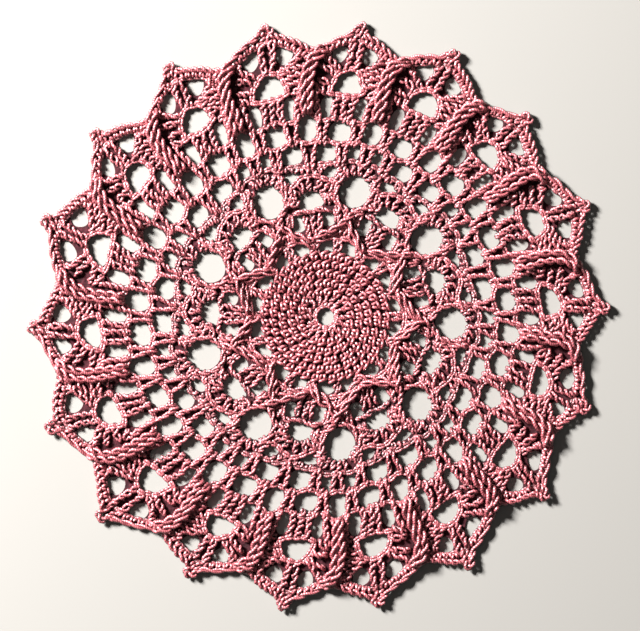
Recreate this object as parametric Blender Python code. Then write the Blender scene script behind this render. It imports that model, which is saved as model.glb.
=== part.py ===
"""Lace doily: a round table mat crocheted from one cotton thread, about 190 mm across.

The cloth is worked in rounds from a small open ring outwards: a close disc, a nine-pointed zigzag
of raised stitches, a net of nine repeats, and eighteen shells with a picot at each point. It lies
flat, so it is one closed sheet with a flat underside. Every gap over 4 mm is cut through, and the
rounds, the zigzag and the ridges between the shells stand up from its face.

Lengths in the tables are millimetres and angles are degrees. A bearing is an angle at the middle of
the cloth, clockwise from +Y.
"""

import math

import bmesh
import bpy
from mathutils import Vector, kdtree
from mathutils.geometry import delaunay_2d_cdt

MM = 0.001

# Repeats of the design round the cloth, and the bearing of the first one.
REPEATS = 9
SHELLS = 18
FIRST_REPEAT = 13.0

# Thickness of the sheet: at the rim of a gap, along the middle of a strand, and at each relief.
RIM_THICK = 1.1
STRAND_THICK = 1.8
DISC_THICK = 1.9
DISC_GROOVE = 1.5
ZIGZAG_THICK = 2.6
RIDGE_THICK = 3.2
RIDGE_GROOVE = 2.5

# The middle disc: the open ring, and the groove after each of its rounds.
RING_RADIUS = 2.9
RING_SIDES = 10
DISC_ROUNDS = (3.6, 7.2, 9.9, 12.7, 15.6, 18.3, 20.7)
DISC_STEP = 2.9

# The gaps of one repeat: radius, angle from the repeat's axis, whether it has a mirrored twin,
# width, height, sides, and how much narrower it is at its outer end.
GAPS = (
    # beside the disc, under the zigzag
    (22.7, -10.0, False, 4.7, 3.5, 6, 0.0),
    (22.7, 8.0, False, 5.4, 4.0, 6, 0.0),
    # over the zigzag
    (31.8, -11.0, False, 4.9, 4.4, 6, 0.0),
    (31.4, 11.3, False, 5.2, 5.0, 6, 0.0),
    # the lens between two repeats, and the large round gap of the repeat
    (37.8, 19.3, False, 8.8, 5.8, 8, 0.0),
    (41.5, 0.0, False, 9.6, 10.3, 10, 0.0),
    # the flat gaps beside the arch over the round gap
    (46.1, -11.0, False, 5.2, 3.9, 6, 0.0),
    (45.8, 12.0, False, 6.5, 3.4, 6, 0.0),
    # first round of chain net
    (52.8, 14.0, True, 6.7, 5.9, 6, 0.0),
    (53.9, 4.4, True, 4.1, 5.2, 6, 0.0),
    # second round of chain net: under the shells, and under the ridges
    (59.9, 10.0, True, 6.9, 6.7, 8, 0.1),
    (61.1, 0.0, False, 5.9, 8.0, 8, 0.0),
    (61.1, 20.0, False, 5.9, 8.0, 8, 0.0),
    # beside the three trebles of each shell
    (67.7, 5.2, True, 3.6, 7.0, 6, 0.0),
    (67.7, 14.8, True, 3.6, 7.0, 6, 0.0),
    # the dome of each shell, and the gaps beside its two middle posts
    (75.6, 10.0, True, 9.4, 6.6, 8, 0.3),
    (84.5, 6.4, True, 4.8, 5.0, 5, -0.2),
    (84.5, 13.6, True, 4.8, 5.0, 5, -0.2),
)

# The zigzag of raised stitches: straight legs between two radii. Rows are lines along a raised
# strand, as (offset from its middle, thickness).
ZIGZAG_INNER = 24.2
ZIGZAG_OUTER = 34.0
ZIGZAG_STEPS = 7
ZIGZAG_END_RISE = 1.0
ZIGZAG_ROWS = ((0.0, ZIGZAG_THICK), (-1.4, DISC_GROOVE), (1.4, DISC_GROOVE))

# The ridges between the shells: two strands side by side, from the net to the dips of the edge.
RIDGE_FROM = 66.0
RIDGE_END_INSET = 2.4
RIDGE_STEPS = 6
RIDGE_ROWS = (
    (-2.2, STRAND_THICK),
    (-1.0, RIDGE_THICK),
    (0.0, RIDGE_GROOVE),
    (1.0, RIDGE_THICK),
    (2.2, STRAND_THICK),
)
RIDGE_END_RISE = 0.45

# How the cloth lies. Each round is turned a little further than the one inside it, the middle sits
# to one side, and the whole is pulled slightly longer one way.
TWIST_PER_MM = 0.096
TWIST_FREE_RADIUS = 39.0
SIDE_SHIFT_INNER = 1.1
SIDE_SHIFT_OUTER = -1.3
SHIFT_FROM = 41.5
SHIFT_TO = 92.0
PULL = 0.0095
PULL_BEARING = 15.0

# The edge, even and as it lies: bearing and reach of each shell's point, and of the dip after it.
POINT_RADIUS = 95.5
DIP_RADIUS = 86.5
UNEVEN_FROM = 66.0
EDGE = (
    (8.0, 97.0, 16.5, 87.5),
    (27.0, 97.5, 36.0, 86.5),
    (46.0, 94.5, 56.0, 86.0),
    (67.5, 95.0, 77.0, 85.0),
    (88.5, 93.5, 96.5, 84.0),
    (109.5, 92.5, 117.0, 84.0),
    (129.0, 94.5, 137.0, 83.5),
    (149.5, 95.5, 157.5, 86.0),
    (169.0, 96.5, 178.0, 87.5),
    (188.0, 96.5, 197.0, 86.0),
    (207.5, 95.5, 217.0, 87.5),
    (228.0, 98.5, 238.0, 87.5),
    (248.0, 97.0, 258.0, 87.5),
    (268.0, 96.0, 277.5, 86.5),
    (289.5, 97.0, 299.5, 86.0),
    (309.0, 96.5, 318.5, 86.0),
    (328.5, 97.0, 338.0, 87.0),
    (349.0, 97.5, 358.5, 87.0),
)

# The edge of one shell: shares of the way from a dip to the point, and of the rise to the picot.
# Then the picot: half its width and its height at each step.
CLIMB = ((0.16, 0.12), (0.38, 0.50), (0.64, 0.80))
PICOT_LENGTH = 4.0
PICOT = ((2.3, 0.0), (1.5, 1.4), (1.3, 3.0), (0.0, PICOT_LENGTH))

# How far the points of the relief, and those that fill the rest of the face, keep from each
# other and from a rim. TINY is the distance within which two places would be one.
RELIEF_SPACING = 0.85
RELIEF_CLEARANCE = 0.4
FILL_SPACING = 3.4
FILL_CLEARANCE = 0.75
FILL_GRID = 0.7
RIM_SAMPLE = 0.5
TINY = 1e-6


def polar(radius, bearing):
    turn = math.radians(bearing)
    return Vector((radius * math.sin(turn), radius * math.cos(turn)))


def bearing_of(point):
    return math.degrees(math.atan2(point.x, point.y))


def even(radius, bearing):
    """A point of the chart on the cloth as it lies, before the unevenness of the edge."""
    point = polar(radius, bearing + TWIST_PER_MM * (radius - TWIST_FREE_RADIUS))
    along = polar(1.0, PULL_BEARING)
    lengthwise = point.dot(along) * along
    point += PULL * (2 * lengthwise - point)
    share = min(max((radius - SHIFT_FROM) / (SHIFT_TO - SHIFT_FROM), 0.0), 1.0)
    point.x += SIDE_SHIFT_INNER + share * (SIDE_SHIFT_OUTER - SIDE_SHIFT_INNER)
    return point


def edge_offsets():
    """(turn, reach) by which each point and dip of the edge lies off its even place, in order."""
    offsets = []
    for shell, (point_bearing, point_reach, dip_bearing, dip_reach) in enumerate(EDGE):
        first = FIRST_REPEAT - 180.0 / SHELLS + shell * 360.0 / SHELLS
        for step, radius, bearing, reach in (
            (0.0, POINT_RADIUS, point_bearing, point_reach),
            (180.0 / SHELLS, DIP_RADIUS, dip_bearing, dip_reach),
        ):
            place = even(radius, first + step)
            turn = (bearing - bearing_of(place) + 180.0) % 360.0 - 180.0
            offsets.append((turn, reach - place.length))
    return offsets


OFFSETS = edge_offsets()


def laid(radius, bearing):
    """A point of the chart on the cloth as it lies."""
    point = even(radius, bearing)
    share = max((radius - UNEVEN_FROM) / (DIP_RADIUS - UNEVEN_FROM), 0.0)
    steps = ((bearing - FIRST_REPEAT) * SHELLS / 180.0 + 1.0) % len(OFFSETS)
    before = int(steps)
    blend = steps - before
    turn_a, reach_a = OFFSETS[before % len(OFFSETS)]
    turn_b, reach_b = OFFSETS[(before + 1) % len(OFFSETS)]
    turn = turn_a + blend * (turn_b - turn_a)
    reach = reach_a + blend * (reach_b - reach_a)
    share = min(share, 1.0)
    return polar(point.length + share * reach, bearing_of(point) + share * turn)


def gap_loop(radius, bearing, width, height, sides, taper):
    """The rim of one gap: an oval with a point for each side, narrower outwards with a taper."""
    loop = []
    for side in range(sides):
        turn = 2.0 * math.pi * (side + 0.5) / sides
        out = height / 2.0 * math.cos(turn)
        across = width / 2.0 * math.sin(turn) * (1.0 - taper * math.cos(turn))
        loop.append(laid(radius + out, bearing + math.degrees(across / radius)))
    return loop


def gap_loops():
    """The rims of all the gaps, the open ring in the middle first."""
    ring_step = 360.0 / RING_SIDES
    loops = [[laid(RING_RADIUS, side * ring_step) for side in range(RING_SIDES)]]
    for repeat in range(REPEATS):
        axis = FIRST_REPEAT + repeat * 360.0 / REPEATS
        for radius, angle, mirrored, width, height, sides, taper in GAPS:
            for side in (1.0, -1.0) if mirrored else (1.0,):
                loops.append(gap_loop(radius, axis + side * angle, width, height, sides, taper))
    return loops


def outline():
    """The outer edge: from each dip up to a shell's picot, round it, and down to the next dip."""
    loop = []
    half_step = 180.0 / SHELLS
    shoulder = POINT_RADIUS - PICOT_LENGTH
    for shell in range(SHELLS):
        axis = FIRST_REPEAT - half_step + shell * 2.0 * half_step
        loop.append(laid(DIP_RADIUS, axis - half_step))
        rising = [
            (-(1.0 - way) * half_step, DIP_RADIUS + rise * (shoulder - DIP_RADIUS))
            for way, rise in CLIMB
        ]
        rising += [
            (-math.degrees(half_width / shoulder), shoulder + height)
            for half_width, height in PICOT
        ]
        falling = [(-turn, radius) for turn, radius in reversed(rising[:-1])]
        loop += [laid(radius, axis + turn) for turn, radius in rising + falling]
    return loop


def disc_points():
    """Crests and grooves of the middle disc's rounds. A relief point is x, y and thickness."""
    points = []
    for groove, after in zip(DISC_ROUNDS, DISC_ROUNDS[1:]):
        for radius, thick in (((groove + after) / 2.0, DISC_THICK), (after, DISC_GROOVE)):
            count = round(2.0 * math.pi * radius / DISC_STEP)
            for index in range(count):
                place = laid(radius, index * 360.0 / count)
                points.append(Vector((place.x, place.y, thick)))
    return points


def raised_strand(start, end, steps, rows, end_rise):
    """Relief points of a straight raised strand, row by row. Its ends have a share of its rise."""
    along = (end - start).normalized()
    across = Vector((along.y, -along.x))
    points = []
    for off, thick in rows:
        for step in range(steps + 1):
            rise = end_rise if step in (0, steps) else 1.0
            place = start.lerp(end, step / steps) + off * across
            height = STRAND_THICK + rise * (thick - STRAND_THICK)
            points.append(Vector((place.x, place.y, height)))
    return points


def zigzag_points():
    """The legs of the raised zigzag, from each inner corner to the outer ones beside it."""
    points = []
    for repeat in range(REPEATS):
        outer = FIRST_REPEAT + repeat * 360.0 / REPEATS
        for side in (-1.0, 1.0):
            start = laid(ZIGZAG_INNER, outer + side * 180.0 / REPEATS)
            end = laid(ZIGZAG_OUTER, outer)
            points += raised_strand(start, end, ZIGZAG_STEPS, ZIGZAG_ROWS, ZIGZAG_END_RISE)
    return points


def ridge_points():
    """The ridges between the shells, from the net out to each dip of the edge."""
    points = []
    for shell in range(SHELLS):
        bearing = FIRST_REPEAT + shell * 360.0 / SHELLS
        start = laid(RIDGE_FROM, bearing)
        end = laid(DIP_RADIUS - RIDGE_END_INSET, bearing)
        points += raised_strand(start, end, RIDGE_STEPS, RIDGE_ROWS, RIDGE_END_RISE)
    return points


def inside(point, loop):
    """Whether a point lies inside a closed loop."""
    found = False
    last = loop[-1]
    for corner in loop:
        if (corner.y > point.y) != (last.y > point.y):
            cross = (last.x - corner.x) * (point.y - corner.y) / (last.y - corner.y) + corner.x
            found ^= point.x < cross
        last = corner
    return found


class Rims:
    """Every rim of the sheet, sampled closely, to tell how far inside the cloth a point is."""

    def __init__(self, loops):
        self.loops = loops
        self.owner = []
        samples = []
        for index, loop in enumerate(loops):
            for start, end in zip(loop, loop[1:] + loop[:1]):
                count = max(1, math.ceil((end - start).length / RIM_SAMPLE))
                for step in range(count):
                    samples.append(start.lerp(end, step / count))
                    self.owner.append(index)
        self.tree = kdtree.KDTree(len(samples))
        for index, sample in enumerate(samples):
            self.tree.insert(sample.to_3d(), index)
        self.tree.balance()

    def clearance(self, point):
        """Distance to the nearest rim, or 0 off the cloth. Loop 0 is the outer edge."""
        _, index, distance = self.tree.find((point.x, point.y, 0.0))
        owner = self.owner[index]
        on_cloth = inside(point, self.loops[owner]) == (owner == 0)
        return distance if on_cloth else 0.0


def spread(candidates, taken, spacing):
    """Those candidates, first come first served, that keep the spacing from all taken ones."""
    cells = {}
    kept = []

    def cell_of(point):
        return math.floor(point.x / spacing), math.floor(point.y / spacing)

    def is_free(point):
        column, row = cell_of(point)
        near = (cells.get((column + i, row + j), ()) for i in (-1, 0, 1) for j in (-1, 0, 1))
        return all((other - point).xy.length >= spacing for group in near for other in group)

    for point in taken:
        cells.setdefault(cell_of(point), []).append(point)
    for point in candidates:
        if is_free(point):
            cells.setdefault(cell_of(point), []).append(point)
            kept.append(point)
    return kept


def fill_points(rims, taken):
    """Relief points along the middles of the strands, widest places first."""
    found = []
    for ring in range(round(POINT_RADIUS / FILL_GRID)):
        radius = ring * FILL_GRID
        count = max(1, round(2.0 * math.pi * ring))
        for index in range(count):
            place = laid(radius, index * 360.0 / count)
            clear = rims.clearance(place)
            if clear > FILL_CLEARANCE:
                point = Vector((place.x, place.y, STRAND_THICK))
                found.append((-round(clear, 1), len(found), point))
    found.sort(key=lambda entry: entry[:2])
    return spread([point for _, _, point in found], taken, FILL_SPACING)


def cloth_faces(loops, relief):
    """(places, triangles) of the cloth: inside the outer loop, and outside the gaps."""
    places = [point for loop in loops for point in loop] + [point.xy for point in relief]
    faces = []
    start = 0
    for loop in loops:
        faces.append(list(reversed(range(start, start + len(loop)))))
        start += len(loop)
    within_faces = 1
    found = delaunay_2d_cdt(places, [], faces, within_faces, TINY)
    places, triangles, owners = found[0], found[2], found[5]
    return places, [face for face, owner in zip(triangles, owners) if list(owner) == [0]]


def build_sheet():
    """The mesh of the doily: relief above, flat below, and a wall round every rim."""
    loops = [outline()] + gap_loops()
    rims = Rims(loops)
    raised = [
        point
        for point in zigzag_points() + ridge_points() + disc_points()
        if rims.clearance(point) > RELIEF_CLEARANCE
    ]
    relief = spread(raised, [], RELIEF_SPACING)
    relief += fill_points(rims, relief)

    edge = loops[0]
    middle_x = (max(point.x for point in edge) + min(point.x for point in edge)) / 2.0
    middle_y = (max(point.y for point in edge) + min(point.y for point in edge)) / 2.0

    mesh = bmesh.new()

    def vertices(places, heights):
        return [
            mesh.verts.new(((place.x - middle_x) * MM, (place.y - middle_y) * MM, height * MM))
            for place, height in zip(places, heights)
        ]

    rim_count = sum(len(loop) for loop in loops)
    places, faces = cloth_faces(loops, relief)
    upper = vertices(places, [RIM_THICK] * rim_count + [point.z for point in relief])
    for a, b, c in faces:
        mesh.faces.new((upper[a], upper[b], upper[c]))
    places, faces = cloth_faces(loops, [])
    lower = vertices(places, [0.0] * rim_count)
    for a, b, c in faces:
        mesh.faces.new((lower[a], lower[c], lower[b]))
    start = 0
    for loop in loops:
        for index in range(len(loop)):
            a, b = start + index, start + (index + 1) % len(loop)
            mesh.faces.new((upper[a], upper[b], lower[b], lower[a]))
        start += len(loop)
    bmesh.ops.recalc_face_normals(mesh, faces=mesh.faces)
    data = bpy.data.meshes.new("doily")
    mesh.to_mesh(data)
    mesh.free()
    return data


def cotton_material():
    """Mercerised cotton thread: rose pink with a soft sheen."""
    material = bpy.data.materials.new("pink_cotton")
    material.use_nodes = True
    shader = material.node_tree.nodes["Principled BSDF"]
    shader.inputs["Base Color"].default_value = (0.72, 0.22, 0.28, 1.0)
    shader.inputs["Roughness"].default_value = 0.6
    shader.inputs["Metallic"].default_value = 0.0
    return material


for old in list(bpy.data.objects):
    bpy.data.objects.remove(old, do_unlink=True)

doily = bpy.data.objects.new("doily", build_sheet())
doily.data.materials.append(cotton_material())
bpy.context.scene.collection.objects.link(doily)
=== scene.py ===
"""Lace doily: the looks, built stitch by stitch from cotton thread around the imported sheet.

Lengths in the tables are millimetres and angles are degrees. A bearing is an angle at the middle of
the cloth, clockwise from +Y. A place on the chart is (radius, angle), with the angle taken from the
axis of one of the nine repeats, or of one of the eighteen shells.
"""

import math

import bmesh
import bpy
import numpy as np
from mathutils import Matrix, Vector


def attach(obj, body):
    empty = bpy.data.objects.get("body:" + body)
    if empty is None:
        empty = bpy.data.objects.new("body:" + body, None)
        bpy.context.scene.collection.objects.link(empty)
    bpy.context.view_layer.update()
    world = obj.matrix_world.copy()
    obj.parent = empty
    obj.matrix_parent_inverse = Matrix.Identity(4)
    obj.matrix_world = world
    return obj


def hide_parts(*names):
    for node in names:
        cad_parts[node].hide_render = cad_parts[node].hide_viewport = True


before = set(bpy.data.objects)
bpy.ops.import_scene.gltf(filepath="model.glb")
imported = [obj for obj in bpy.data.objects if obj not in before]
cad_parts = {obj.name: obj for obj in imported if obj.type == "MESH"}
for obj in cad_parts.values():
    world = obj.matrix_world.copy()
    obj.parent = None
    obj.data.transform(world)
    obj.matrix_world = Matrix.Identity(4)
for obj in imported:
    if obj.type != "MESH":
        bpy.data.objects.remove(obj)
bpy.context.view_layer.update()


# ---- Camera -------------------------------------------------------------------------------------
# The doily lies flat and is seen from straight above, with the top of the design at the top of
# the picture. The picture is 208 mm wide at the table.

MM = 0.001
VIEW_WIDTH = 208.2
VIEW_CENTRE = (0.55, 0.24)
VIEW_HEIGHT = 900.0
SENSOR_WIDTH = 36.0

camera_data = bpy.data.cameras.new("camera")
camera_data.sensor_width = SENSOR_WIDTH
camera_data.lens = SENSOR_WIDTH * VIEW_HEIGHT / VIEW_WIDTH
camera = bpy.data.objects.new("camera", camera_data)
camera.location = (VIEW_CENTRE[0] * MM, VIEW_CENTRE[1] * MM, VIEW_HEIGHT * MM)
bpy.context.scene.collection.objects.link(camera)
bpy.context.scene.camera = camera


# ---- Light --------------------------------------------------------------------------------------
# One window-sized key light low on the upper left, a weak wide fill over the doily, and a pale
# even surround. The shadows fall towards the lower right.

KEY_BEARING = 302.0
KEY_RISE = 31.0
KEY_DISTANCE = 1100.0
KEY_SIZE = 220.0
KEY_POWER = 48.0
FILL_BEARING = 0.0
FILL_RISE = 90.0
FILL_HEIGHT = 800.0
FILL_SIZE = 700.0
FILL_POWER = 0.15
SURROUND_COLOUR = (1.0, 0.98, 0.96, 1.0)
SURROUND_STRENGTH = 0.04


def add_light(name, bearing, rise, distance, size, power):
    """A square light at a bearing, a rise over the table and a distance, facing the middle."""
    data = bpy.data.lights.new(name, "AREA")
    data.size = size * MM
    data.energy = power
    lamp = bpy.data.objects.new(name, data)
    turn, lift = math.radians(bearing), math.radians(rise)
    level = math.cos(lift)
    away = Vector((math.sin(turn) * level, math.cos(turn) * level, math.sin(lift)))
    lamp.location = away * distance * MM
    lamp.rotation_euler = away.to_track_quat("Z", "Y").to_euler()
    bpy.context.scene.collection.objects.link(lamp)


add_light("key", KEY_BEARING, KEY_RISE, KEY_DISTANCE, KEY_SIZE, KEY_POWER)
add_light("fill", FILL_BEARING, FILL_RISE, FILL_HEIGHT, FILL_SIZE, FILL_POWER)

world = bpy.data.worlds.new("surround")
world.use_nodes = True
background = world.node_tree.nodes["Background"]
background.inputs["Color"].default_value = SURROUND_COLOUR
background.inputs["Strength"].default_value = SURROUND_STRENGTH
bpy.context.scene.world = world
bpy.context.scene.view_settings.view_transform = "Standard"


# ---- Floor --------------------------------------------------------------------------------------
# A plain table top in pale matt paint, which the doily lies on loose. It isn't part of the doily,
# and is much wider, so that its edges never show.

FLOOR_SIDE = 3000.0
FLOOR_COLOUR = (0.42, 0.40, 0.37, 1.0)
FLOOR_ROUGHNESS = 0.7

floor_shape = bmesh.new()
bmesh.ops.create_grid(floor_shape, x_segments=1, y_segments=1, size=FLOOR_SIDE / 2.0 * MM)
floor_mesh = bpy.data.meshes.new("table_top")
floor_shape.to_mesh(floor_mesh)
floor_shape.free()
floor = bpy.data.objects.new("table_top", floor_mesh)
bpy.context.scene.collection.objects.link(floor)
floor_paint = bpy.data.materials.new("pale_table")
floor_paint.use_nodes = True
floor_shader = floor_paint.node_tree.nodes["Principled BSDF"]
floor_shader.inputs["Base Color"].default_value = FLOOR_COLOUR
floor_shader.inputs["Roughness"].default_value = FLOOR_ROUGHNESS
floor_mesh.materials.append(floor_paint)


# ---- Ground -------------------------------------------------------------------------------------
# The underlying layer of the crochet, where the pink cotton thread crosses at the back of the
# stitches and presses on the table. It is one thin cloth with the doily's outline and gaps, which
# the worked stitches sit on and wrap round. It is painted dark maroon, not pink: painted shade for
# the shadow deep between the stitches.

REPEATS = 9
SHELLS = 18
SHELL = 360.0 / SHELLS
HALF_SHELL = SHELL / 2.0
FIRST_REPEAT = 13.0
POINT_RADIUS = 95.5
DIP_RADIUS = 86.5

# How the cloth lies: each round turned further than the one inside it, the middle to one side,
# the whole pulled slightly longer one way, and the edge uneven from a radius outwards.
TWIST_PER_MM = 0.096
TWIST_FREE_RADIUS = 39.0
SIDE_SHIFT_INNER = 1.1
SIDE_SHIFT_OUTER = -1.3
SHIFT_FROM = 41.5
SHIFT_TO = 92.0
PULL = 0.0095
PULL_BEARING = 15.0
UNEVEN_FROM = 66.0

# Bearing and reach of each shell's point, and of the dip after it.
EDGE = (
    (8.0, 97.0, 16.5, 87.5),
    (27.0, 97.5, 36.0, 86.5),
    (46.0, 94.5, 56.0, 86.0),
    (67.5, 95.0, 77.0, 85.0),
    (88.5, 93.5, 96.5, 84.0),
    (109.5, 92.5, 117.0, 84.0),
    (129.0, 94.5, 137.0, 83.5),
    (149.5, 95.5, 157.5, 86.0),
    (169.0, 96.5, 178.0, 87.5),
    (188.0, 96.5, 197.0, 86.0),
    (207.5, 95.5, 217.0, 87.5),
    (228.0, 98.5, 238.0, 87.5),
    (248.0, 97.0, 258.0, 87.5),
    (268.0, 96.0, 277.5, 86.5),
    (289.5, 97.0, 299.5, 86.0),
    (309.0, 96.5, 318.5, 86.0),
    (328.5, 97.0, 338.0, 87.0),
    (349.0, 97.5, 358.5, 87.0),
)

# The edge of one shell from its point down to a dip: angle from the point, and radius.
SHOULDER = (
    (0.0, POINT_RADIUS),
    (0.6, 94.9),
    (0.8, 94.5),
    (0.9, 92.9),
    (1.4, 91.5),
    (3.6, 90.5),
    (6.2, 89.0),
    (8.4, 87.1),
    (HALF_SHELL, DIP_RADIUS),
)

# The gaps of one repeat: radius, angle, whether it has a mirrored twin, width, height, and how
# much narrower it is at its outer end.
ROUND_GAP = (41.5, 0.0, False, 9.6, 10.3, 0.0)
WIDE_GAP = (37.8, 19.3, False, 8.8, 5.8, 0.0)
GAPS = (
    (22.7, -10.0, False, 4.7, 3.5, 0.0),
    (22.7, 8.0, False, 5.4, 4.0, 0.0),
    (31.8, -11.0, False, 4.9, 4.4, 0.0),
    (31.4, 11.3, False, 5.2, 5.0, 0.0),
    WIDE_GAP,
    ROUND_GAP,
    (46.1, -11.0, False, 5.2, 3.9, 0.0),
    (45.8, 12.0, False, 6.5, 3.4, 0.0),
    (52.8, 14.0, True, 6.7, 5.9, 0.0),
    (53.9, 4.4, True, 4.1, 5.2, 0.0),
    (59.9, 10.0, True, 6.9, 6.7, 0.1),
    (61.1, 0.0, False, 5.9, 8.0, 0.0),
    (61.1, 20.0, False, 5.9, 8.0, 0.0),
    (67.7, 5.2, True, 3.6, 7.0, 0.0),
    (67.7, 14.8, True, 3.6, 7.0, 0.0),
    (75.6, 10.0, True, 9.4, 6.6, 0.3),
    (84.5, 6.4, True, 4.8, 5.0, -0.2),
    (84.5, 13.6, True, 4.8, 5.0, -0.2),
)
RING_RADIUS = 2.9

# The ground is cut back from the gaps by the margin and from the edge by the inset, and it stops
# short of the picots. Its corners are rounded, and its doubled points are welded.
GROUND_MARGIN = 0.45
GROUND_EDGE_INSET = 0.9
GROUND_REACH = 93.0
GROUND_THICK = 0.5
GROUND_ROUNDING = 0.12
WELD = 0.0005
# Points round a gap, and along the edge of one shell.
GAP_POINTS = 20
EDGE_POINTS = 12


def polar(radius, bearing):
    """The point at a radius and a bearing from the middle."""
    turn = math.radians(bearing)
    return Vector((radius * math.sin(turn), radius * math.cos(turn)))


def bearing_of(point):
    return math.degrees(math.atan2(point.x, point.y))


def repeat_axes():
    """The bearings of the repeats' axes on the chart."""
    return [FIRST_REPEAT + repeat * 360.0 / REPEATS for repeat in range(REPEATS)]


def shell_axes():
    """The bearings of the shells' points on the chart."""
    return [FIRST_REPEAT - HALF_SHELL + shell * SHELL for shell in range(SHELLS)]


def share_between(value, start, end):
    """How far a value has gone from a start to an end, from 0 to 1."""
    return min(max((value - start) / (end - start), 0.0), 1.0)


def even(radius, bearing):
    """A point of the chart on the cloth as it lies, before the unevenness of the edge."""
    point = polar(radius, bearing + TWIST_PER_MM * (radius - TWIST_FREE_RADIUS))
    along = polar(1.0, PULL_BEARING)
    lengthwise = point.dot(along) * along
    point += PULL * (2 * lengthwise - point)
    share = share_between(radius, SHIFT_FROM, SHIFT_TO)
    point.x += SIDE_SHIFT_INNER + share * (SIDE_SHIFT_OUTER - SIDE_SHIFT_INNER)
    return point


def edge_offsets():
    """(turn, reach) by which each point and dip of the edge lies off its even place, in order."""
    offsets = []
    for axis, (point_bearing, point_reach, dip_bearing, dip_reach) in zip(shell_axes(), EDGE):
        for step, radius, bearing, reach in (
            (0.0, POINT_RADIUS, point_bearing, point_reach),
            (HALF_SHELL, DIP_RADIUS, dip_bearing, dip_reach),
        ):
            place = even(radius, axis + step)
            turn = (bearing - bearing_of(place) + 180.0) % 360.0 - 180.0
            offsets.append((turn, reach - place.length))
    return offsets


OFFSETS = edge_offsets()


def uncentred(radius, bearing):
    """A point of the chart on the cloth as it lies, from the middle of the chart."""
    point = even(radius, bearing)
    share = share_between(radius, UNEVEN_FROM, DIP_RADIUS)
    steps = ((bearing - FIRST_REPEAT) / HALF_SHELL + 1.0) % len(OFFSETS)
    before = int(steps)
    blend = steps - before
    turn_a, reach_a = OFFSETS[before % len(OFFSETS)]
    turn_b, reach_b = OFFSETS[(before + 1) % len(OFFSETS)]
    turn = turn_a + blend * (turn_b - turn_a)
    reach = reach_a + blend * (reach_b - reach_a)
    return polar(point.length + share * reach, bearing_of(point) + share * turn)


def edge_radius(angle):
    """Radius of the outer edge at an angle from the point of its shell."""
    return float(np.interp(abs(angle), *zip(*SHOULDER)))


def full_edge():
    """The corners of the doily's edge, picots and all, from the middle of the chart."""
    angles = [angle for angle, _ in SHOULDER] + [-angle for angle, _ in SHOULDER]
    return [uncentred(edge_radius(a), axis + a) for axis in shell_axes() for a in angles]


edge_corners = full_edge()
MIDDLE = Vector((
    (max(p.x for p in edge_corners) + min(p.x for p in edge_corners)) / 2.0,
    (max(p.y for p in edge_corners) + min(p.y for p in edge_corners)) / 2.0,
))


def laid(radius, bearing):
    """A point of the chart on the cloth as it lies, from the middle of the cloth."""
    return uncentred(radius, bearing) - MIDDLE


def edge_loop():
    """The ground's outline."""
    angles = np.linspace(-HALF_SHELL, HALF_SHELL, EDGE_POINTS, endpoint=False)
    return [
        laid(min(edge_radius(a), GROUND_REACH) - GROUND_EDGE_INSET, axis + a)
        for axis in shell_axes() for a in angles
    ]


def gap_loop(radius, bearing, width, height, taper):
    """The ground's edge round one gap."""
    loop = []
    for side in range(GAP_POINTS):
        turn = 2.0 * math.pi * side / GAP_POINTS
        out = (height / 2.0 + GROUND_MARGIN) * math.cos(turn)
        across = (width / 2.0 + GROUND_MARGIN) * math.sin(turn) * (1.0 - taper * math.cos(turn))
        loop.append(laid(radius + out, bearing + math.degrees(across / radius)))
    return loop


def ground_loops():
    """The ground's outline, its middle ring and all its gaps."""
    ring = RING_RADIUS + GROUND_MARGIN
    loops = [edge_loop(), [laid(ring, side * 360.0 / GAP_POINTS) for side in range(GAP_POINTS)]]
    for axis in repeat_axes():
        for radius, angle, mirrored, width, height, taper in GAPS:
            for side in (1.0, -1.0) if mirrored else (1.0,):
                loops.append(gap_loop(radius, axis + side * angle, width, height, taper))
    return loops


def cut_cloth(name, loops, thick, rounding):
    """A flat cloth with its first loop as outline and the others as gaps, resting on the table."""
    curve = bpy.data.curves.new(name, "CURVE")
    curve.dimensions = "2D"
    curve.fill_mode = "BOTH"
    curve.extrude = (thick / 2.0 - rounding) * MM
    curve.bevel_depth = rounding * MM
    curve.bevel_resolution = 1
    for loop in loops:
        spline = curve.splines.new("POLY")
        spline.use_cyclic_u = True
        spline.points.add(len(loop) - 1)
        for point, place in zip(spline.points, loop):
            point.co = (place.x * MM, place.y * MM, 0.0, 1.0)
    holder = bpy.data.objects.new("holder", curve)
    bpy.context.scene.collection.objects.link(holder)
    graph = bpy.context.evaluated_depsgraph_get()
    mesh = bpy.data.meshes.new_from_object(holder.evaluated_get(graph), depsgraph=graph)
    bpy.data.objects.remove(holder)
    bpy.data.curves.remove(curve)
    mesh.name = name
    shape = bmesh.new()
    shape.from_mesh(mesh)
    bmesh.ops.remove_doubles(shape, verts=shape.verts, dist=WELD * MM)
    bmesh.ops.recalc_face_normals(shape, faces=shape.faces)
    bmesh.ops.translate(shape, verts=shape.verts, vec=(0.0, 0.0, thick / 2.0 * MM))
    shape.to_mesh(mesh)
    shape.free()
    return mesh


def add_piece(name, mesh):
    piece = bpy.data.objects.new(name, mesh)
    bpy.context.scene.collection.objects.link(piece)
    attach(piece, "root")
    return piece


ground = add_piece(
    "ground", cut_cloth("ground", ground_loops(), GROUND_THICK, GROUND_ROUNDING)
)
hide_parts("doily")


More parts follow.
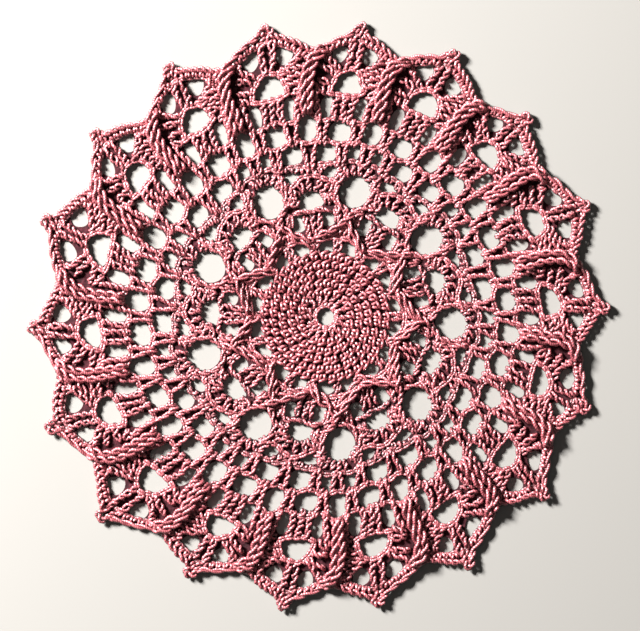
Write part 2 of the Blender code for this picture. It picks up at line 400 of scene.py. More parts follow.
class Value:
    """A shader value. Sums, products and so on of these and of numbers are made as nodes."""

    def __init__(self, tree, socket):
        self.tree, self.socket = tree, socket

    def node(self, kind, settings, links, result=0):
        """The result of any other node, with its settings and then its inputs."""
        made = self.tree.nodes.new(kind)
        for key, setting in settings.items():
            setattr(made, key, setting)
        for key, given in links.items():
            if isinstance(given, Value):
                given.feed(made.inputs[key])
            else:
                made.inputs[key].default_value = given
        return Value(self.tree, made.outputs[result])

    def feed(self, socket):
        self.tree.links.new(self.socket, socket)

    def maths(self, operation, *given):
        return self.node("ShaderNodeMath", {"operation": operation}, dict(enumerate(given)))

    def __add__(self, other):
        return self.maths("ADD", self, other)

    def __sub__(self, other):
        return self.maths("SUBTRACT", self, other)

    def __rsub__(self, other):
        return self.maths("SUBTRACT", other, self)

    def __mul__(self, other):
        return self.maths("MULTIPLY", self, other)

    def __truediv__(self, other):
        return self.maths("DIVIDE", self, other)

    def __rtruediv__(self, other):
        return self.maths("DIVIDE", other, self)

    __radd__ = __add__
    __rmul__ = __mul__

    def part(self, index):
        """One of the three parts of a vector."""
        return self.node("ShaderNodeSeparateXYZ", {}, {0: self}, index)

    def blend(self, low, high):
        """The mix of two colours by this value. The node has them at 6 and 7, and their mix at 2."""
        return self.node(
            "ShaderNodeMix", {"data_type": "RGBA", "clamp_factor": True},
            {"Factor": self, 6: low, 7: high}, 2,
        )


def new_paint(name):
    """A material with its Principled shader, and the Object coordinates as a value."""
    paint = bpy.data.materials.new(name)
    paint.use_nodes = True
    tree = paint.node_tree
    place = Value(tree, tree.nodes.new("ShaderNodeTexCoord").outputs["Object"])
    return paint, tree.nodes["Principled BSDF"], place


def noise(place, size):
    """Soft noise from 0 to 1 with spots of a size in mm."""
    return place.node("ShaderNodeTexNoise", {}, {"Vector": place, "Scale": 1.0 / (size * MM)})


# The ground's colours are painted shade: a dark maroon for the shadow between the stitches, mottled
# by the lumps.
GROUND_PAINTED_SHADE_DARK = (0.015, 0.001, 0.003, 1.0)
GROUND_PAINTED_SHADE_LIGHT = (0.11, 0.010, 0.020, 1.0)
GROUND_ROUGHNESS = 0.9
LUMP_SIZE = 1.6
LUMP_HEIGHT = 0.6
LUMP_CONTRAST = 1.6

ground_shade_paint, ground_shader, place = new_paint("ground_painted_shade")
lumps = noise(place, LUMP_SIZE)
colour = (lumps * lumps * LUMP_CONTRAST).blend(GROUND_PAINTED_SHADE_DARK, GROUND_PAINTED_SHADE_LIGHT)
colour.feed(ground_shader.inputs["Base Color"])
bump = place.node("ShaderNodeBump", {}, {"Height": lumps, "Distance": LUMP_HEIGHT * MM})
bump.feed(ground_shader.inputs["Normal"])
ground_shader.inputs["Roughness"].default_value = GROUND_ROUGHNESS
ground.data.materials.append(ground_shade_paint)


# ---- Disc ---------------------------------------------------------------------------------------
# The close middle of pink cotton, worked from a small chain ring: one round of tall stitches and
# five of short ones. Each short stitch is two legs of thread hooked into the round below, with a
# slanting strand across their tops.

# The thread's thickness and the sides of its mesh, the step from one ring of its corners to the
# next, and the pieces of its line between two points of a path.
THREAD = 0.97
SIDES = 8
STEP = 0.6
LINE_PIECES = 8

# The height at which a stitch's ends go into the ground and its usual height, how far its places
# stray from the chart, and the start of the random draws.
SINK = 0.3
STITCH_HEIGHT = 1.0
JITTER = 0.2
SEED = 18

# The thread is three plies, with one turn of the twist in this length.
PLIES = 3.0
TWIST_LENGTH = 2.3
PLY_DEPTH = 0.1
PLY_STRENGTH = 0.7

# Painted shade: deep between the stitches, up to the first height, the cotton is painted dark. It
# is painted in its full pink from the second height up, and sooner on the crown of a thread, where
# the light falls.
PAINTED_SHADE_BELOW = 1.0
PAINTED_SHADE_CLEAR_ABOVE = 1.9
CROWN_PAINTED_LIGHT = 0.5
COTTON_PAINTED_SHADOW = (0.008, 0.0, 0.001, 1.0)
# Painted shade on the sides of a thread and in the grooves between its plies, the cotton's own pink,
# and a painted highlight on the crown.
COTTON_PAINTED_SIDE_SHADE = (0.09, 0.0005, 0.005, 1.0)
COTTON_MID = (0.50, 0.050, 0.075, 1.0)
COTTON_PAINTED_HIGHLIGHT = (0.70, 0.20, 0.22, 1.0)
COTTON_ROUGHNESS = 0.48
COTTON_IOR = 1.75
COTTON_SHEEN = 1.0
PATCH_SIZE = 9.0

chance = np.random.default_rng(SEED)

cotton, cotton_shader, place = new_paint("pink_cotton_thread")
wound = place.node("ShaderNodeUVMap", {"uv_map": "wound"}, {})
tone = place.node("ShaderNodeAttribute", {"attribute_name": "tone"}, {}, 2)
patch = noise(place, PATCH_SIZE)
turn, length = wound.part(0), wound.part(1)
ply = place.maths("SINE", (turn + length / TWIST_LENGTH) * (math.pi * PLIES))
ply = place.maths("ABSOLUTE", ply)
crown = place.maths("SINE", turn * (2.0 * math.pi))


def shade(by_ply, by_crown, by_patch, by_tone, less):
    """How far the cotton has gone from one colour to the next paler one: painted shade and highlight
    from the ply grooves and the crown, with the patches and tones of the cotton.
    """
    return ply * by_ply + crown * by_crown + patch * by_patch + tone * by_tone - less


height_there = place.part(2) / MM
# Painted shade, darkest deep between the stitches and lifted on the crown of a thread.
out_of_painted_shade = (height_there - PAINTED_SHADE_BELOW) / (PAINTED_SHADE_CLEAR_ABOVE - PAINTED_SHADE_BELOW) + crown * CROWN_PAINTED_LIGHT
# Painted shade on the sides and in the ply grooves, and a painted highlight on the crowns, each mixed
# with the patches and the strands' own tones.
painted_shade_and_tone = shade(by_ply=0.9, by_crown=0.65, by_patch=0.2, by_tone=0.45, less=0.65)
painted_highlight_and_tone = shade(by_ply=0.9, by_crown=0.7, by_patch=0.3, by_tone=0.3, less=1.08)
pink = painted_shade_and_tone.blend(COTTON_PAINTED_SIDE_SHADE, painted_highlight_and_tone.blend(COTTON_MID, COTTON_PAINTED_HIGHLIGHT))
out_of_painted_shade.blend(COTTON_PAINTED_SHADOW, pink).feed(cotton_shader.inputs["Base Color"])
bump = place.node(
    "ShaderNodeBump", {}, {"Height": ply, "Distance": PLY_DEPTH * MM, "Strength": PLY_STRENGTH}
)
bump.feed(cotton_shader.inputs["Normal"])
cotton_shader.inputs["Roughness"].default_value = COTTON_ROUGHNESS
cotton_shader.inputs["IOR"].default_value = COTTON_IOR
cotton_shader.inputs["Specular IOR Level"].default_value = COTTON_SHEEN


def unit(vectors):
    return vectors / np.linalg.norm(vectors, axis=1)[:, None]


def gone_along(line):
    """The length along a line up to each of its points."""
    return np.concatenate(([0.0], np.cumsum(np.linalg.norm(np.diff(line, axis=0), axis=1))))


def rings_round(strand, thick):
    """The corners of a round thread, SIDES of them round each point of its strand."""
    heading = unit(np.gradient(strand, axis=0))
    across = unit(np.cross(heading, (0.0, 0.0, 1.0)))
    above = np.cross(across, heading)
    round_about = 2.0 * math.pi * (np.arange(SIDES) / SIDES)[:, None]
    outwards = across[:, None] * np.cos(round_about) + above[:, None] * np.sin(round_about)
    return (strand[:, None] + thick / 2.0 * outwards).reshape(-1, 3)


def threads(name, strands, thick=THREAD):
    """One piece of round threads along the strands, none of them below the table.

    The UV map has the turn round a thread and the length along it, and each thread has its tone."""
    turns = np.arange(SIDES + 1) / SIDES
    corners, walls, ends, wound, tones = [], [], [], [], []
    first = 0
    for strand in strands:
        strand[:, 2] = np.maximum(strand[:, 2], thick / 2.0)
        corners.append(rings_round(strand, thick))
        row, side = np.divmod(np.arange((len(strand) - 1) * SIDES), SIDES)
        near, after = first + row * SIDES, (side + 1) % SIDES
        far = near + SIDES
        walls.append(np.column_stack((near + side, near + after, far + after, far + side)))
        last = first + (len(strand) - 1) * SIDES
        ends += [list(range(first + SIDES - 1, first - 1, -1)), list(range(last, last + SIDES))]
        gone = gone_along(strand)
        u = np.column_stack((turns[side], turns[side + 1], turns[side + 1], turns[side]))
        v = np.column_stack((gone[row], gone[row], gone[row + 1], gone[row + 1]))
        wound.append(np.stack((u, v), axis=2).reshape(-1, 2))
        tones.append(np.full(len(strand) * SIDES, chance.random()))
        first = last + SIDES
    wound.append(np.zeros((len(ends) * SIDES, 2)))
    mesh = bpy.data.meshes.new(name)
    mesh.from_pydata((np.vstack(corners) * MM).tolist(), [], np.vstack(walls).tolist() + ends)
    mesh.uv_layers.new(name="wound").data.foreach_set("uv", np.vstack(wound).ravel())
    mesh.attributes.new("tone", "FLOAT", "POINT").data.foreach_set("value", np.concatenate(tones))
    mesh.shade_smooth()
    mesh.materials.append(cotton)
    return add_piece(name, mesh)


def smooth(points, step=STEP):
    """Even steps along a smooth line through the points, with the heading and length at each."""
    knots = np.array([tuple(p) for p in points], float)
    padded = np.vstack((2 * knots[0] - knots[1], knots, 2 * knots[-1] - knots[-2]))
    t = np.linspace(0.0, 1.0, LINE_PIECES, endpoint=False)[:, None]
    parts = []
    for a, b, c, d in zip(padded, padded[1:], padded[2:], padded[3:]):
        square, cube = 2 * a - 5 * b + 4 * c - d, 3 * b - a - 3 * c + d
        parts.append(0.5 * (2 * b + (c - a) * t + square * t**2 + cube * t**3))
    line = np.vstack(parts + [knots[-1:]])
    gone = gone_along(line)
    at = np.linspace(0.0, gone[-1], max(3, math.ceil(gone[-1] / step) + 1))
    places = np.column_stack([np.interp(at, gone, column) for column in line.T])
    return places, unit(np.gradient(places, axis=0)), at


def rightwards(heading):
    """The directions to the right of a line's headings."""
    return np.column_stack((heading[:, 1], -heading[:, 0]))


def on_chart(axis, points, jitter=JITTER):
    """The places of (radius, angle) chart points, with the angle from an axis, slightly uneven."""
    places = [laid(radius, axis + angle) for radius, angle in points]
    return [place + jitter * Vector(chance.normal(size=2)) for place in places]


# How the two strands of a post lie: their width and thickness together, the length of one twist,
# and how knotted they are.
POST_STRANDS = 2
SHORT_POST = (2.2, 1.9, 4.2, 1.0)
TALL_POST = (2.3, 2.1, 4.9, 0.9)
THICK_POST = (2.5, 2.2, 4.6, 1.0)
RAISED_POST = (2.1, 1.9, 6.4, 0.5)

# A post's strands draw together and go down over the last stretch at each end.
END_STRETCH = 1.1
END_WIDTH = 0.45
# How posts differ in the length of a twist, as a share, and in height.
PITCH_SPREAD = 0.15
HEIGHT_SPREAD = 0.12
# How far a knotted strand sways, in turns, and swells, as a share, and the lengths of the waves.
SWAY = 0.13
SWAY_LENGTH = 3.3
SWELL = 0.22
SWELL_LENGTH = 2.6


def wave(at, length):
    """A wave of a length along a strand, which starts anywhere."""
    return np.sin(2.0 * math.pi * (at / length + chance.random()))


def rope(path, form=SHORT_POST, height=STITCH_HEIGHT):
    """Strands twisted round a path: the body of a tall stitch. The ends go down into the cloth."""
    width, thick, pitch, knotted = form
    places, heading, at = smooth(path)
    right = rightwards(heading)
    out = (width - THREAD) / 2.0
    up = (thick - THREAD) / 2.0
    ends = np.clip(np.minimum(at, at[-1] - at) / END_STRETCH, 0.0, 1.0)
    narrowed = END_WIDTH + (1.0 - END_WIDTH) * ends
    phase = chance.random()
    pitch *= chance.uniform(1.0 - PITCH_SPREAD, 1.0 + PITCH_SPREAD)
    height += chance.normal() * HEIGHT_SPREAD
    made = []
    for k in range(POST_STRANDS):
        sway = SWAY * knotted * wave(at, SWAY_LENGTH)
        swell = 1.0 + SWELL * knotted * wave(at, SWELL_LENGTH)
        turn = 2.0 * math.pi * (at / pitch + k / POST_STRANDS + phase + sway)
        flat = places + right * (out * swell * np.sin(turn) * narrowed)[:, None]
        rise = SINK + (height + up * swell * np.cos(turn) - SINK) * np.sin(ends * math.pi / 2.0)
        made.append(np.column_stack((flat, rise)))
    return made


def posts(axis, table):
    """The strands of the posts of a table that has the points, form and height of each."""
    made = []
    for points, form, height in table:
        made += rope(on_chart(axis, points), form, height)
    return made


# One side of a chain stitch and its end: length along the chain in stitches, offset to the side,
# and height.
LINK = (
    (0.02, 0.10, -0.30),
    (0.28, 0.34, 0.12),
    (0.60, 0.50, 0.22),
    (0.92, 0.42, 0.06),
    (1.14, 0.20, -0.22),
)
LINK_END = (1.2, 0.0, -0.34)
# How far a chain stitch strays sideways and upwards.
LINK_SPREAD = (0.12, 0.08)
CHAIN_STEP = 0.15
CHAIN_WIDTH = 2.05
CHAIN_PITCH = 2.7


def braid(path, width=CHAIN_WIDTH, pitch=CHAIN_PITCH, height=STITCH_HEIGHT, closed=False):
    """Chain stitches along a path: each a loop of thread that comes out of the one before it."""
    places, heading, at = smooth(path, CHAIN_STEP)
    course = np.column_stack((places, rightwards(heading)))
    count = max(1, round(at[-1] / pitch))
    pitch = at[-1] / count
    loop = [(along, -aside, rise) for along, aside, rise in LINK] + [LINK_END] + list(reversed(LINK))
    made = []
    for link in range(count):
        shift, lift = chance.normal(size=2) * LINK_SPREAD
        rows = []
        for along, aside, rise in loop:
            where = (link + along) * pitch
            where = where % at[-1] if closed else min(where, at[-1])
            x, y, right_x, right_y = (np.interp(where, at, column) for column in course.T)
            out = (width - THREAD) * aside + shift
            rows.append((x + out * right_x, y + out * right_y, height + lift + rise))
        made.append(np.array(rows))
    return made


# One leg of a short stitch: sideways in stitch widths, outwards in stitch heights, and height.
LEG = (
    (0.08, -0.08, 0.0),
    (0.14, 0.08, 0.9),
    (0.22, 0.34, 1.7),
    (0.28, 0.60, 1.2),
    (0.29, 0.78, 0.0),
)
# How far a short stitch leans over, in stitch widths, and strays upwards.
LEG_LEAN = 0.12
LEG_SPREAD = 0.08


def short_stitch(foot, top, width, lift=0.0):
    """Two legs of thread, from the foot of a short stitch up to its top."""
    out = top - foot
    across = Vector((out.y, -out.x)).normalized() * width
    lift += chance.normal() * LEG_SPREAD
    legs = []
    for side in (-1.0, 1.0):
        rows = []
        for aside, forward, rise in LEG:
            spot = foot + forward * out + (side * aside + LEG_LEAN * forward) * across
            rows.append((spot.x, spot.y, rise + lift))
        legs.append(smooth(rows)[0])
    return legs


# The slanting strand on top of a close stitch, from end to end: along the round in stitch widths,
# outwards in stitch heights, and height.
SLANT = (
    (-0.54, 0.46, 0.1),
    (-0.30, 0.56, 1.25),
    (0.02, 0.69, 1.9),
    (0.32, 0.80, 1.35),
    (0.54, 0.88, 0.1),
)
SLANT_STEP = 0.5
# The width of a close stitch, and how much of its round's height its legs have.
CLOSE_WIDTH = 2.9
LEG_SHARE = 0.8
# How far a close stitch strays along its round, in stitch widths, and upwards or outwards.
CLOSE_SWAY = 0.07
CLOSE_SPREAD = 0.12


def close_round(inner, outer):
    """A close round of stitches between two radii: each two legs, and a strand across their tops."""
    count = round(math.pi * (inner + outer) / CLOSE_WIDTH)
    arc = 360.0 / count
    start = chance.random() * arc
    made = []
    for stitch in range(count):
        bearing = start + stitch * arc + chance.normal() * CLOSE_SWAY * arc
        lift, shift = chance.normal(size=2) * CLOSE_SPREAD
        foot = laid(inner + shift, bearing)
        top = laid(inner + shift + LEG_SHARE * (outer - inner), bearing)
        made += short_stitch(foot, top, CLOSE_WIDTH, lift)
        rows = []
        for along, out, rise in SLANT:
            spot = laid(inner + out * (outer - inner) + shift, bearing + along * arc)
            rows.append((spot.x, spot.y, rise + lift))
        made.append(smooth(rows, SLANT_STEP)[0])
    return made


# The close rounds start at this radius.
FIRST_ROUND = 7.0
ROUND_HEIGHT = 2.9
CLOSE_ROUNDS = 5
DISC_THREAD = 1.05
# Foot and top of a tall stitch of the first round, and how many there are.
INNER_STITCH = ((3.3, 0.0), (7.5, 5.0))
INNER_STITCHES = 16
# The chain ring round the hole.
CHAIN_RING_RADIUS = 3.5
CHAIN_RING_POINTS = 18
CHAIN_RING_WIDTH = 1.7
CHAIN_RING_PITCH = 2.0
CHAIN_RING_HEIGHT = 0.85

disc = []
for step in range(CLOSE_ROUNDS):
    inner = FIRST_ROUND + step * ROUND_HEIGHT
    disc += close_round(inner, inner + ROUND_HEIGHT)
for stitch in range(INNER_STITCHES):
    disc += rope(on_chart(stitch * 360.0 / INNER_STITCHES, INNER_STITCH))
chain_ring = [
    laid(CHAIN_RING_RADIUS, point * 360.0 / CHAIN_RING_POINTS)
    for point in range(CHAIN_RING_POINTS + 1)
]
disc += braid(chain_ring, CHAIN_RING_WIDTH, CHAIN_RING_PITCH, CHAIN_RING_HEIGHT, closed=True)
disc_piece = threads("disc", disc, DISC_THREAD)


# ---- Star ---------------------------------------------------------------------------------------
# A nine-pointed zigzag round the disc, of long cotton stitches worked round the front of the others
# so that they stand up. Under it lie a ring of small gaps, low stitches and short chains.

ZIGZAG_POST = (2.4, 2.1, 8.5, 0.25)
# Each post: its points (radius, angle), form and height.
STAR_POSTS = (
    # rising legs of the zigzag
    (((23.2, -20.5), (24.7, -14.0), (26.4, -8.0), (28.4, -3.0), (30.4, 1.0)), ZIGZAG_POST, 1.4),
    (((25.0, -20.0), (26.5, -14.0), (28.3, -8.0), (30.6, -3.0), (32.8, 0.6), (34.6, 2.8)),
     ZIGZAG_POST, 2.4),
    # falling legs of the zigzag
    (((33.0, -1.2), (30.8, 2.4), (28.8, 6.4), (27.0, 11.0), (25.4, 15.5), (24.0, 20.0)),
     ZIGZAG_POST, 2.3),
    (((30.4, 0.6), (28.4, 3.6), (26.4, 8.0), (24.8, 12.5), (23.2, 17.0), (21.9, 20.5)),
     ZIGZAG_POST, 1.6),
    # between the small gaps beside the disc
    (((20.4, -2.8), (25.6, -3.6)), SHORT_POST, 0.95),
    (((20.4, 0.4), (25.6, -0.2)), SHORT_POST, 0.95),
    (((20.4, 17.6), (24.8, 16.8)), SHORT_POST, 0.95),
    (((20.4, 21.4), (24.8, 22.2)), SHORT_POST, 0.95),
    # inside the point of the zigzag
    (((25.8, -7.0), (28.4, -5.6)), SHORT_POST, 0.9),
    (((26.4, -2.4), (31.0, -1.6)), TALL_POST, 0.95),
    (((26.0, 2.6), (30.0, 1.6)), TALL_POST, 0.95),
    # the low block in the valley of the zigzag
    (((26.2, 15.8), (29.5, 16.2), (33.4, 15.0)), TALL_POST, 1.0),
    (((25.8, 19.6), (29.8, 20.0), (33.8, 19.0)), THICK_POST, 1.0),
    (((26.2, 23.6), (29.5, 23.8), (33.4, 24.6)), TALL_POST, 1.0),
    # from the point of the zigzag to the round gap
    (((31.4, -4.4), (33.4, -5.2), (35.8, -7.4)), TALL_POST, 1.05),
    (((32.6, -1.4), (36.2, -2.8)), SHORT_POST, 1.05),
    (((32.8, 1.8), (36.2, 3.0)), SHORT_POST, 1.05),
    (((31.2, 4.6), (33.4, 5.4), (35.8, 7.4)), TALL_POST, 1.05),
)
STAR_CHAINS = (
    ((25.2, -14.5), (25.8, -9.0), (26.2, -3.0), (26.2, 2.0), (25.8, 6.5), (25.0, 11.0)),
    ((25.2, 14.5), (25.2, 18.0), (25.2, 22.0), (25.2, 25.5)),
    ((34.8, -8.4), (33.0, -6.6), (30.8, -6.2)),
    ((34.8, 8.4), (33.0, 7.0), (30.8, 6.6)),
)
STAR_CHAIN_HEIGHT = 0.95

star = []
for axis in repeat_axes():
    star += posts(axis, STAR_POSTS)
    for chain in STAR_CHAINS:
        star += braid(on_chart(axis, chain), height=STAR_CHAIN_HEIGHT)
star_piece = threads("star", star)


# ---- Arches -------------------------------------------------------------------------------------
# The cotton round the nine round gaps and the nine wide ones between them. Each gap is arched over
# by a row of stitches hooked round its rim, and side posts join the rows.

# Each row round a rim: gap, where it starts and ends as turns from the clockwise side towards the
# outer side, how far its stitches reach from the rim, and their form.
RIM_ROWS = (
    (ROUND_GAP, 20.0, 160.0, 3.6, SHORT_POST),
    (WIDE_GAP, 0.0, 180.0, 4.3, THICK_POST),
)
RIM_STITCHES = 9
RIM_START = -0.1
RIM_HEIGHT = 1.1
ARCH_POSTS = (
    # beside the round gap
    (((37.2, -7.4), (39.6, -8.0), (42.2, -8.2), (44.6, -7.2), (47.2, -6.0)), RAISED_POST, 1.4),
    (((37.2, 7.2), (39.6, 7.8), (42.2, 8.0), (44.6, 7.0), (47.2, 6.2)), RAISED_POST, 1.4),
    (((36.4, -10.6), (38.6, -10.9), (41.0, -11.0), (43.4, -10.6)), SHORT_POST, 1.0),
    (((42.6, -9.8), (45.2, -8.8), (48.8, -7.8)), SHORT_POST, 1.15),
    (((36.4, 10.4), (38.6, 10.7), (41.0, 10.6), (43.4, 10.2)), SHORT_POST, 1.0),
    (((42.6, 9.6), (45.2, 8.4), (48.6, 7.6)), SHORT_POST, 1.15),
    # below the round gap
    (((38.8, -8.6), (36.8, -6.4), (35.4, -3.2), (34.6, 0.4)), RAISED_POST, 1.4),
    (((38.4, 8.2), (36.6, 5.8), (35.4, 3.2), (34.8, 0.6)), RAISED_POST, 1.4),
    # below the wide gap
    (((34.6, -9.0), (35.0, -13.0), (34.5, -16.5), (34.2, -20.4)), SHORT_POST, 1.0),
    (((34.6, 9.0), (35.0, 13.0), (34.5, 16.5), (34.2, 20.0)), SHORT_POST, 1.0),
    (((36.6, 12.6), (38.0, 13.2), (40.4, 12.6)), SHORT_POST, 1.0),
    (((36.6, -12.6), (38.0, -13.4), (40.4, -12.8)), SHORT_POST, 1.0),
)
ARCH_CHAIN = (
    (42.8, 10.6), (43.6, 12.6), (45.2, 16.0), (45.9, 20.0), (45.3, 24.0), (44.2, 26.6),
    (43.9, 29.0), (43.2, 30.6),
)
# Foot and top of each stitch in the round over the arches.
TOP_ROW = (
    ((48.4, 8.6), (50.2, 8.4)),
    ((48.0, 10.8), (49.8, 10.6)),
    ((47.8, 13.0), (49.4, 12.8)),
    ((47.2, 15.0), (49.0, 15.2)),
    ((46.4, 17.2), (48.6, 17.4)),
    ((46.2, 19.4), (48.4, 19.6)),
    ((46.2, 21.6), (48.6, 21.8)),
    ((46.4, 23.8), (49.0, 24.0)),
    ((47.6, 26.0), (49.6, 26.2)),
    ((48.6, 28.4), (50.0, 28.4)),
    ((48.8, 30.6), (50.2, 30.6)),
    ((48.6, 32.6), (50.4, 32.4)),
)


def rim_spot(gap, turn, out):
    """The chart point at a turn round a gap's rim and a distance out from it."""
    radius, angle, _, width, height, _ = gap
    across = (width / 2.0 + out) * math.cos(math.radians(turn))
    outward = (height / 2.0 + out) * math.sin(math.radians(turn))
    return radius + outward, angle + math.degrees(across / radius)


arches = []
for axis in repeat_axes():
    for gap, start, end, reach, form in RIM_ROWS:
        for turn in np.linspace(start, end, RIM_STITCHES):
            ends = rim_spot(gap, turn, RIM_START), rim_spot(gap, turn, reach)
            arches += rope(on_chart(axis, ends), form, RIM_HEIGHT)
    arches += posts(axis, ARCH_POSTS)
    arches += braid(on_chart(axis, ARCH_CHAIN))
    for stitch in TOP_ROW:
        arches += rope(on_chart(axis, stitch))
arch_piece = threads("arches", arches)


# ---- Net ----------------------------------------------------------------------------------------
# Two rounds of open cotton net, each of V-shaped pairs of tall stitches whose feet wrap the chain
# below. The chains run right round the doily, under, between and over the two rounds.

NET_POST = (2.0, 1.9, 4.8, 0.8)
NET_POST_HEIGHT = 1.3
NET_CHAIN_WIDTH = 2.0
# The clockwise stitch of each pair: the other one is its mirror image about the pair's angle.
OUTER_STITCH = ((55.6, 0.6), (59.8, 1.1), (64.4, 1.6))
NET_PAIRS = (
    # angle of the pair, points (radius, angle from the pair)
    (0.3, ((49.6, 0.5), (53.0, 1.2), (56.8, 1.9))),
    (8.3, ((48.8, 0.5), (52.4, 1.2), (56.6, 1.8))),
    (-8.1, ((49.0, 0.5), (52.4, 1.2), (56.6, 1.8))),
    (20.0, ((47.8, 0.7), (52.2, 1.4), (56.8, 2.1))),
    (4.7, OUTER_STITCH),
    (15.3, OUTER_STITCH),
    (-4.7, OUTER_STITCH),
    (-15.3, OUTER_STITCH),
)


def over_repeat(half):
    """A chain over a repeat's two shells, from its points over half a shell."""
    one = half + [(radius, SHELL - angle) for radius, angle in reversed(half[:-1])]
    return one + [(radius, SHELL + angle) for radius, angle in one[1:]]


# Each chain of one repeat: its height and points (radius, angle).
NET_CHAINS = (
    (0.65, [
        (49.9, 0.0), (50.9, 2.4), (50.9, 5.6), (49.3, 8.3), (49.6, 11.0), (49.4, 14.0),
        (49.2, 17.0), (47.8, 20.0), (49.0, 23.0), (49.4, 26.0), (49.7, 29.0), (49.2, 31.7),
        (50.7, 34.4), (50.9, 37.6), (49.9, 40.0),
    ]),
    (0.95, over_repeat([(56.3, 0.0), (57.0, 2.5), (57.9, 4.7), (56.7, 7.0), (55.7, 10.0)])),
    (0.85, over_repeat([
        (66.0, 0.0), (65.4, 1.3), (64.2, 2.6), (63.4, 4.4), (63.6, 6.4), (64.3, 8.2), (64.5, 10.0),
    ])),
)

net = []
for axis in repeat_axes():
    for middle, points in NET_PAIRS:
        for side in (-1.0, 1.0):
            post = [(radius, middle + side * angle) for radius, angle in points]
            net += rope(on_chart(axis, post), NET_POST, NET_POST_HEIGHT)
    for height, chain in NET_CHAINS:
        net += braid(on_chart(axis, chain, jitter=0.0), NET_CHAIN_WIDTH, height=height)
net_piece = threads("net", net)


# ---- Shells -------------------------------------------------------------------------------------
# Eighteen scallops of the same cotton. Each has three tall stitches, a wide gap over them and a
# fan of tall stitches round that gap, all hooked into two short chains.

SHELL_JITTER = 0.32
SHELL_THREAD = 1.08
SHELL_HEIGHT = 1.15
SHELL_CHAIN_WIDTH = 2.0
SHELL_CHAIN_PITCH = 2.5
FAN_POST = (2.6, 2.3, 4.8, 0.9)
SHELL_POSTS = (
    # the three trebles
    ((62.8, -1.8), (67.5, -2.4), (71.9, -2.0)),
    ((62.8, 0.3), (67.5, 0.0), (71.9, 0.6)),
    ((62.8, 2.4), (67.5, 2.3), (72.0, 3.0)),
    # left group
    ((75.2, -3.9), (76.0, -6.0), (76.6, -8.2)),
    ((77.4, -3.5), (79.4, -5.8), (81.0, -8.2)),
    ((79.2, -2.3), (81.4, -4.9), (84.6, -6.9)),
    # middle posts
    ((79.5, -0.8), (84.0, -1.0), (89.4, -1.0)),
    ((79.5, 0.8), (84.0, 1.0), (89.4, 0.9)),
    # right group
    ((79.2, 2.2), (81.6, 5.0), (84.4, 7.6)),
    ((78.2, 3.1), (80.0, 5.8), (81.6, 8.4)),
    ((76.8, 3.7), (78.0, 6.0), (78.8, 8.4)),
    ((75.0, 4.0), (75.5, 5.6), (76.4, 8.4)),
    # beside the feet of the fan and at the dips
    ((71.8, 5.6), (73.4, 6.8), (75.4, 8.6)),
    ((72.0, -5.6), (73.6, -6.8), (75.2, -8.6)),
    ((82.6, 8.2), (85.2, 8.8), (86.6, 9.6)),
    ((83.4, -8.0), (85.0, -8.6), (86.2, -9.6)),
    # up to the edging, outside the fan
    ((82.2, 6.3), (84.0, 6.6), (85.6, 6.4)),
    ((82.4, -6.4), (84.0, -6.7), (85.6, -6.5)),
)
SHELL_CHAINS = (
    ((72.6, -4.6), (75.0, -4.1), (77.6, -3.2), (79.4, -1.2), (79.8, 0.6), (78.6, 2.6),
     (76.4, 3.8), (73.6, 4.6)),
    ((72.8, -5.2), (71.8, -2.6), (71.5, 0.0), (71.9, 2.6), (73.2, 4.8)),
)

shells = []
for axis in shell_axes():
    for post in SHELL_POSTS:
        shells += rope(on_chart(axis, post, SHELL_JITTER), FAN_POST, SHELL_HEIGHT)
    for chain in SHELL_CHAINS:
        shells += braid(on_chart(axis, chain), SHELL_CHAIN_WIDTH, SHELL_CHAIN_PITCH)
shell_piece = threads("shells", shells, SHELL_THREAD)


# ---- Edging -------------------------------------------------------------------------------------
# A cotton band of short stitches hooked round every scallop, with a chain along its inner side, a
# cord of two twisted strands along its edge, and a small picot loop at each point.

# For each side of a scallop: the line of the short stitches' feet, and that of their tops.
EDGE_ROWS = (
    (((84.2, -8.0), (85.9, -6.2), (87.2, -4.2), (88.4, -1.6)),
     ((86.0, -8.8), (87.9, -6.6), (89.3, -4.4), (90.8, -1.8))),
    (((88.4, 1.6), (87.2, 3.8), (86.0, 5.8), (84.4, 8.0)),
     ((90.9, 1.6), (89.6, 3.8), (88.1, 6.0), (86.4, 8.4))),
)
EDGE_ROW_STEP = 0.2
EDGE_ROW_STITCHES = 5
EDGE_STITCH_WIDTH = 3.2
EDGE_THREAD = 1.08

LEFT_FORM = (2.0, 2.0, 9.0, 0.2)
RIGHT_FORM = (2.3, 2.1, 4.9, 0.3)
PICOT_FORM = (2.5, 2.2, 4.4, 0.2)
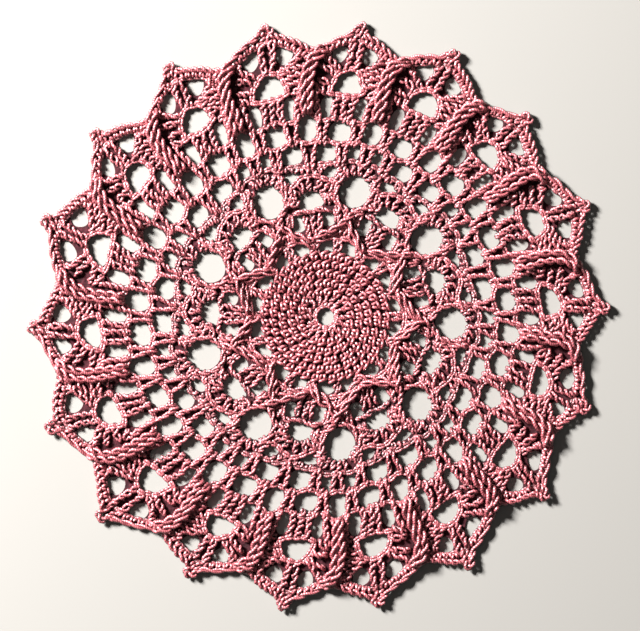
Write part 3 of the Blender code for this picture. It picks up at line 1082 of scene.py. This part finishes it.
# Each strand pair along the edge, anticlockwise and clockwise of the point: its points, form and
# height.
EDGE_CORDS = (
    (((85.7, -9.8), (86.9, -8.3), (88.4, -6.3), (89.8, -4.0), (91.0, -2.0), (92.8, -1.0)),
     LEFT_FORM, 1.35),
    (((91.8, 0.9), (90.8, 2.1), (89.9, 3.8), (88.5, 5.9), (87.0, 7.9), (85.8, 9.6)),
     RIGHT_FORM, 1.35),
)
RIM_CHAIN = (
    (84.5, -8.4), (86.1, -6.2), (87.4, -4.2), (88.5, -1.6), (89.0, 0.0), (88.5, 1.6), (87.4, 4.0),
    (85.9, 6.2), (84.4, 8.2),
)
RIM_CHAIN_WIDTH = 1.8
RIM_CHAIN_PITCH = 2.5
RIM_CHAIN_HEIGHT = 0.6
POINT_POSTS = (
    # the link across the dip
    (((86.3, 8.2), (86.5, 10.0), (86.4, 12.0)), SHORT_POST, 0.95),
    # the picot
    (((91.2, -0.9), (92.8, -0.9), (94.1, -0.5), (94.4, 0.1), (93.9, 0.65), (92.6, 0.95), (91.2, 0.8)),
     PICOT_FORM, 1.4),
    # inside the picot
    (((89.6, -0.9), (92.4, -0.3)), RIGHT_FORM, 1.0),
    (((89.6, 0.6), (92.8, 0.3)), RIGHT_FORM, 1.0),
)

edging = []
for axis in shell_axes():
    for feet, tops in EDGE_ROWS:
        foot_line = smooth(on_chart(axis, feet), EDGE_ROW_STEP)[0]
        top_line = smooth(on_chart(axis, tops), EDGE_ROW_STEP)[0]
        for share in (np.arange(EDGE_ROW_STITCHES) + 0.5) / EDGE_ROW_STITCHES:
            foot = Vector(foot_line[int(share * len(foot_line))])
            top = Vector(top_line[int(share * len(top_line))])
            edging += short_stitch(foot, top, EDGE_STITCH_WIDTH)
    edging += posts(axis, EDGE_CORDS)
    edging += braid(on_chart(axis, RIM_CHAIN), RIM_CHAIN_WIDTH, RIM_CHAIN_PITCH, RIM_CHAIN_HEIGHT)
    edging += posts(axis, POINT_POSTS)
edging_piece = threads("edging", edging, EDGE_THREAD)


# ---- Ridges -------------------------------------------------------------------------------------
# Between every two scallops, long cotton stitches worked round the front of the others, which
# stand up as a ridge and curve over at the edge.

RIDGE_THREAD = 1.2
RIDGE_POST = (2.6, 2.3, 7.2, 0.25)
# Each post: its points (radius, angle from the ridge), form and height.
RIDGE_POSTS = (
    (((63.4, -3.3), (68.0, -2.9), (72.5, -2.4), (76.0, -2.2)), TALL_POST, 1.3),
    (((63.4, 3.3), (67.5, 2.9), (71.0, 2.4), (74.0, 2.0)), TALL_POST, 1.3),
    (((65.2, -1.2), (70.0, -1.3), (75.0, -1.6), (80.0, -1.6), (84.2, -0.6), (87.0, 1.6)),
     RIDGE_POST, 2.9),
    (((65.4, 0.6), (70.0, 0.5), (75.0, 0.1), (80.0, 0.1), (83.6, 1.0), (86.0, 2.8)),
     RIDGE_POST, 2.8),
)

ridges = []
for axis in shell_axes():
    ridges += posts(axis + HALF_SHELL, RIDGE_POSTS)
ridge_piece = threads("ridges", ridges, RIDGE_THREAD)
